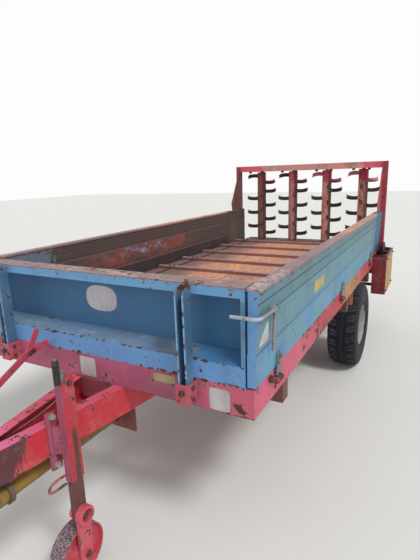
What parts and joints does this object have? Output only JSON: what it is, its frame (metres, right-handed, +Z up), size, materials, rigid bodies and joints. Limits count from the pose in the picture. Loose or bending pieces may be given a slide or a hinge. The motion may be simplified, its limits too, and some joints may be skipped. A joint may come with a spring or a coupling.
{
  "type": "manure spreader",
  "caption": "Single-axle manure spreader with drop sides, chain-and-slat floor, standing beaters at the rear and a folding support wheel.",
  "frame": {"origin": "on the floor under the middle of the machine's overall box", "axes": "+X to the machine's left, +Y to its rear, +Z up"},
  "size_m": [2.003, 5.305, 1.958],
  "materials": {
    "red_frame": "worn red paint with chips and rust",
    "red_under": "old dark red paint, dirty",
    "blue_boards": "faded blue paint, rubbed and dirty",
    "rusty_boards": "brown rust with remains of paint",
    "planks": "weathered boards",
    "bare_steel": "rusty bare steel",
    "greasy_steel": "black with grease",
    "yellow_guard": "dirty yellow plastic",
    "tyre_rubber": "worn tyre rubber",
    "rim_paint": "pale paint with rust"
  },
  "bodies": {
    "chassis": {"front_sill": "red_frame", "left_sill": "red_frame", "right_sill": "red_frame", "rear_sill": "red_frame", "cross_members": "red_under", "under_beams": "red_under", "left_draw_beam": "red_frame", "right_draw_beam": "red_frame", "draw_head": "red_frame", "towing_eye": "bare_steel", "axle": "red_under", "floor_planks": "planks", "floor_conveyor": "bare_steel", "floor_slats": "bare_steel", "floor_shafts": "bare_steel", "front_board": "blue_boards", "front_uprights": "blue_boards", "upright_feet": "red_frame", "rear_side_panels": "rusty_boards", "rear_posts": "red_frame", "wing_plates": "red_frame", "top_beam": "red_frame", "beater_bearings": "red_under", "drive_beam": "red_under", "drive_line": "bare_steel", "chain_guard": "red_under", "guard_drive": "greasy_steel", "shaft_bracket": "red_frame", "shaft_guard": "yellow_guard", "shaft_rest": "bare_steel", "brake_lever": "red_frame", "leg_tube": "red_frame", "leg_crank": "greasy_steel"},
    "inner_leg": {"inner_leg": "red_under"},
    "support_arm": {"support_arm": "red_frame"},
    "support_wheel": {"support_wheel": "red_frame"},
    "left_side": {"left_drop_side": "blue_boards", "left_hinge_straps": "blue_boards", "left_corner_latch": "bare_steel"},
    "right_side": {"right_drop_side": "blue_boards", "right_hinge_straps": "blue_boards", "right_corner_latch": "bare_steel"},
    "beater_1": {"beater_1": "red_under"},
    "beater_2": {"beater_2": "red_under"},
    "beater_3": {"beater_3": "red_under"},
    "beater_4": {"beater_4": "red_under"},
    "left_road_wheel": {"left_tyre": "tyre_rubber", "left_wheel": "rim_paint"},
    "right_road_wheel": {"right_tyre": "tyre_rubber", "right_wheel": "rim_paint"}
  },
  "joints": [
    {"name": "left_wheel_spin", "type": "hinge", "parent": "chassis", "child": "left_road_wheel", "pos_m": [0.7735, 1.0225, 0.4], "axis": [1, 0, 0], "continuous": true},
    {"name": "right_wheel_spin", "type": "hinge", "parent": "chassis", "child": "right_road_wheel", "pos_m": [-0.8665, 1.0225, 0.4], "axis": [1, 0, 0], "continuous": true},
    {"name": "left_side_drop", "type": "hinge", "parent": "chassis", "child": "left_side", "pos_m": [0.8725, 0.1525, 0.893], "axis": [0, 1, 0], "range_deg": [0, 120]},
    {"name": "right_side_drop", "type": "hinge", "parent": "chassis", "child": "right_side", "pos_m": [-0.9655, 0.1525, 0.893], "axis": [0, -1, 0], "range_deg": [0, 120]},
    {"name": "leg_crank_slide", "type": "slide", "parent": "chassis", "child": "inner_leg", "axis": [0, 0, 1], "range_m": [-0.12, 0.077]},
    {"name": "support_fold", "type": "hinge", "parent": "inner_leg", "child": "support_arm", "pos_m": [0.1185, -1.9575, 0.341], "axis": [1, 0, 0], "range_deg": [0, 118]},
    {"name": "support_wheel_spin", "type": "hinge", "parent": "support_arm", "child": "support_wheel", "pos_m": [0.0845, -1.9655, 0.13], "axis": [1, 0, 0], "continuous": true},
    {"name": "beater_1_spin", "type": "hinge", "parent": "chassis", "child": "beater_1", "pos_m": [-0.7065, 2.4525, 1.45], "axis": [0, 0, 1], "continuous": true},
    {"name": "beater_2_spin", "type": "hinge", "parent": "chassis", "child": "beater_2", "pos_m": [-0.2665, 2.4525, 1.45], "axis": [0, 0, 1], "continuous": true},
    {"name": "beater_3_spin", "type": "hinge", "parent": "chassis", "child": "beater_3", "pos_m": [0.1735, 2.4525, 1.45], "axis": [0, 0, 1], "continuous": true},
    {"name": "beater_4_spin", "type": "hinge", "parent": "chassis", "child": "beater_4", "pos_m": [0.6135, 2.4525, 1.45], "axis": [0, 0, 1], "continuous": true}
  ]
}
